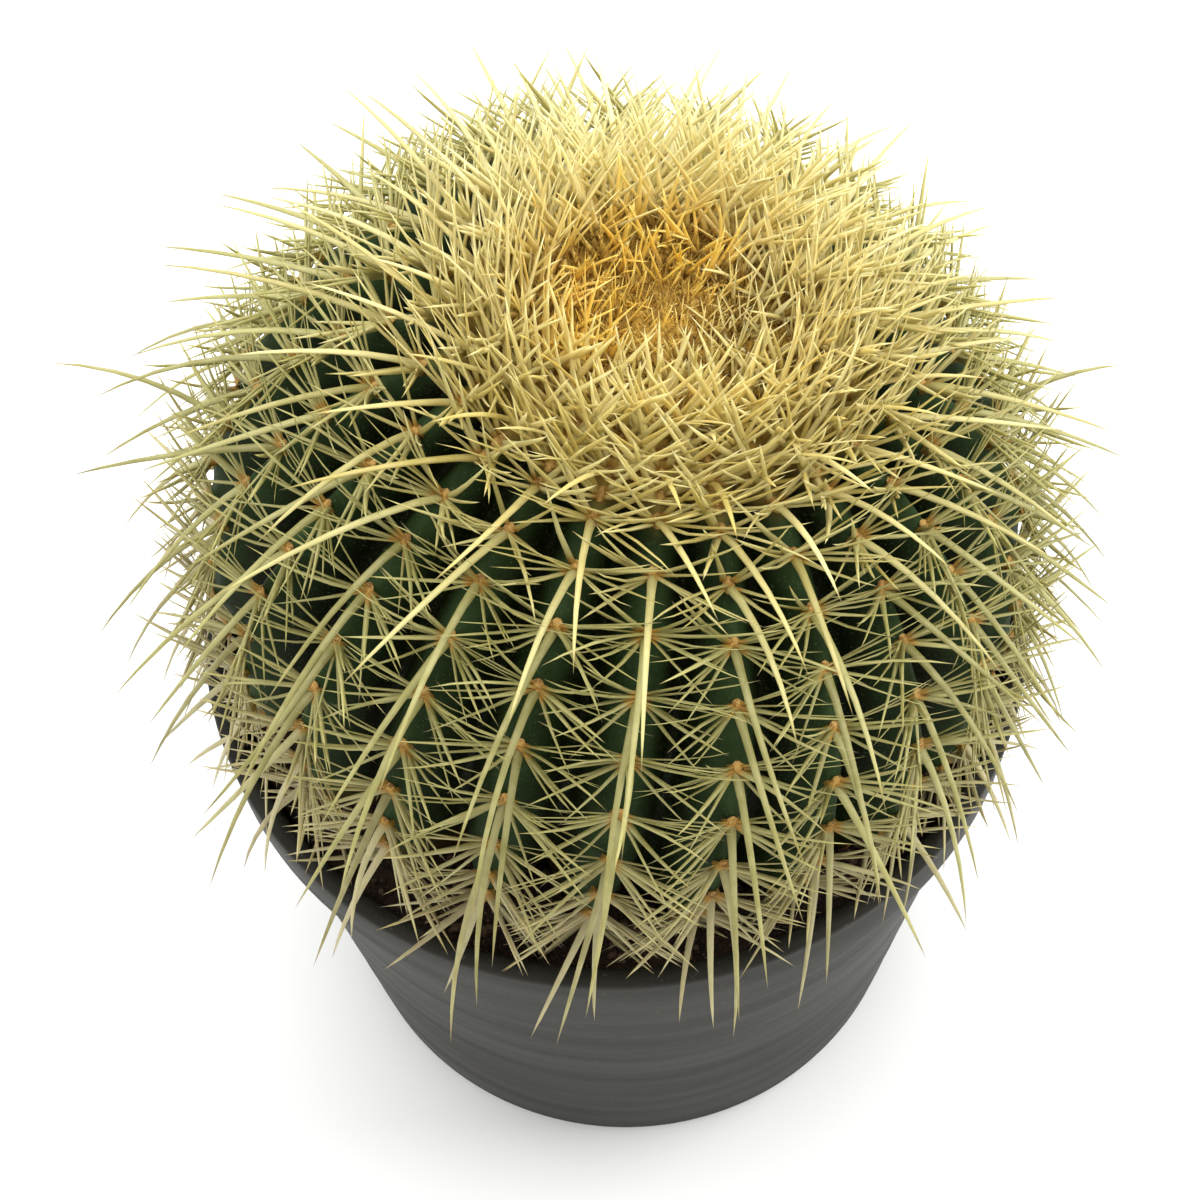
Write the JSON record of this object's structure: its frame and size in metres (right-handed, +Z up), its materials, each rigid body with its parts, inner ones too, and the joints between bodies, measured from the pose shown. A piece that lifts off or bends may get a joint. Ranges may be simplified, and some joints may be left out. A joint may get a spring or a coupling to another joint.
{
  "type": "potted golden barrel cactus",
  "caption": "Round ribbed barrel cactus with dense curved spines and a woolly crown, standing in soil in a tapered, ribbed nursery pot with a rolled rim.",
  "frame": {"origin": "centre of the pot's underside, on the flat boss that stands level with the foot ring", "axes": "+Z up along the pot's axis, -Y towards the side the picture shows, the cactus leans towards +X"},
  "size_m": [0.2669, 0.2649, 0.3092],
  "materials": {
    "pot_plastic": "satin dark grey moulded polypropylene with faint mould lines",
    "soil": "dark peaty potting mix with grit",
    "cactus": "waxy green flesh under straw-yellow spines",
    "wool": "yellow felted wool"
  },
  "bodies": {
    "root": {"pot": "pot_plastic", "soil": "soil", "cactus": "cactus", "crown_wool": "wool"}
  },
  "joints": []
}
